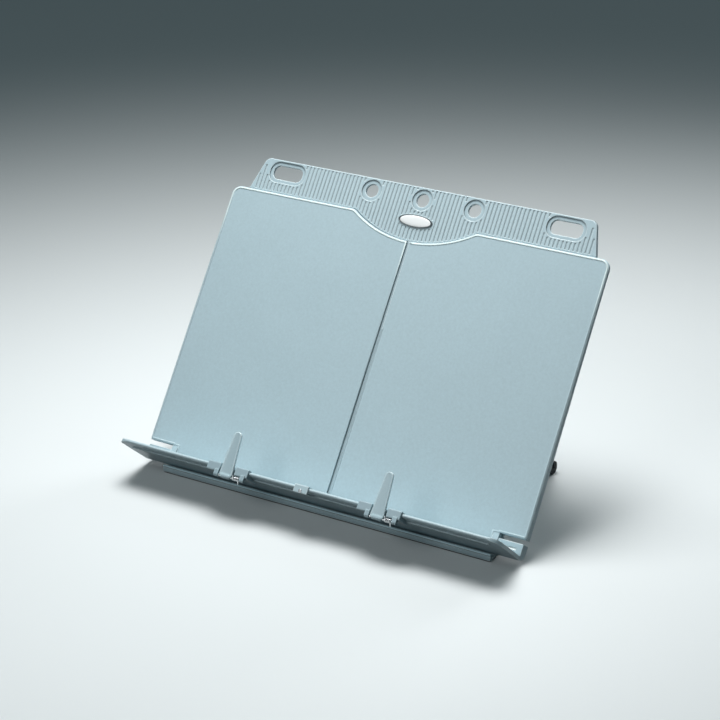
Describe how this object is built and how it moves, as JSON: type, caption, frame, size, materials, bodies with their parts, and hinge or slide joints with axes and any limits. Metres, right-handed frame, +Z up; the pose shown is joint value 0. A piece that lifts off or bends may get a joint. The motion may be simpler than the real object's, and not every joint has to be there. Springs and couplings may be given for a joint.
{
  "type": "tilting document holder",
  "caption": "Tilting document holder: a wide board on an easel leg, with a fold-up ledge, sliding sprung page clips and a ribbed ring-binder header.",
  "frame": {"origin": "on the desk, in the middle of the width, at the front foot: the middle of the resting face of the rubber strip is 4.75 mm behind it", "axes": "+X to the holder's right, along its width; +Y back, away from the reader; +Z up"},
  "size_m": [0.308, 0.1829, 0.1978],
  "materials": {
    "platinum_plastic": "fine moulded texture, cool platinum grey",
    "clip_plastic": "satin platinum grey",
    "badge": "blank white oval",
    "rubber": "dark grey anti-slip rubber",
    "steel": "bright zinc-plated steel"
  },
  "bodies": {
    "holder": {"front_panel": "platinum_plastic", "binder_header": "platinum_plastic", "badge": "badge", "back_shell": "platinum_plastic", "shell_screws": "steel", "rail_screws": "steel", "bracket_screws": "steel", "foot_rail": "platinum_plastic", "rubber_strip": "rubber", "ledge_pin_left": "steel", "ledge_pin_right": "steel", "leg_bracket_left": "platinum_plastic", "leg_bracket_right": "platinum_plastic", "leg_pin_left": "steel", "leg_pin_right": "steel", "leg_washers_left": "steel", "leg_washers_right": "steel"},
    "ledge_body": {"ledge": "platinum_plastic", "centre_tab": "platinum_plastic", "tab_rivet": "steel"},
    "left_clip": {"clip_carriage_left": "clip_plastic", "finger_pin_left": "steel", "finger_spring_left": "steel"},
    "right_clip": {"clip_carriage_right": "clip_plastic", "finger_pin_right": "steel", "finger_spring_right": "steel"},
    "left_finger": {"page_finger_left": "clip_plastic"},
    "right_finger": {"page_finger_right": "clip_plastic"},
    "leg": {"stand_leg": "platinum_plastic", "leg_toe_left": "rubber", "leg_toe_right": "rubber"}
  },
  "joints": [
    {"name": "ledge_fold", "type": "hinge", "parent": "holder", "child": "ledge_body", "pos_m": [0, 0.00449, 0.00946], "axis": [-1, 0, 0], "range_deg": [0, 55]},
    {"name": "left_clip_slide", "type": "slide", "parent": "ledge_body", "child": "left_clip", "axis": [1, 0, 0], "range_m": [-0.06, 0.034]},
    {"name": "right_clip_slide", "type": "slide", "parent": "ledge_body", "child": "right_clip", "axis": [1, 0, 0], "range_m": [-0.034, 0.06]},
    {"name": "left_finger_flip", "type": "hinge", "parent": "left_clip", "child": "left_finger", "pos_m": [0, -0.03752, 0.02978], "axis": [1, 0, 0], "range_deg": [0, 100], "stiffness_Nm_per_rad": 0.02, "springref_deg": -45.84},
    {"name": "right_finger_flip", "type": "hinge", "parent": "right_clip", "child": "right_finger", "pos_m": [0, -0.03752, 0.02978], "axis": [1, 0, 0], "range_deg": [0, 100], "stiffness_Nm_per_rad": 0.02, "springref_deg": -45.84},
    {"name": "stand_leg_fold", "type": "hinge", "parent": "holder", "child": "leg", "pos_m": [0, 0.09367, 0.11179], "axis": [-1, 0, 0], "range_deg": [-12, 56]}
  ]
}
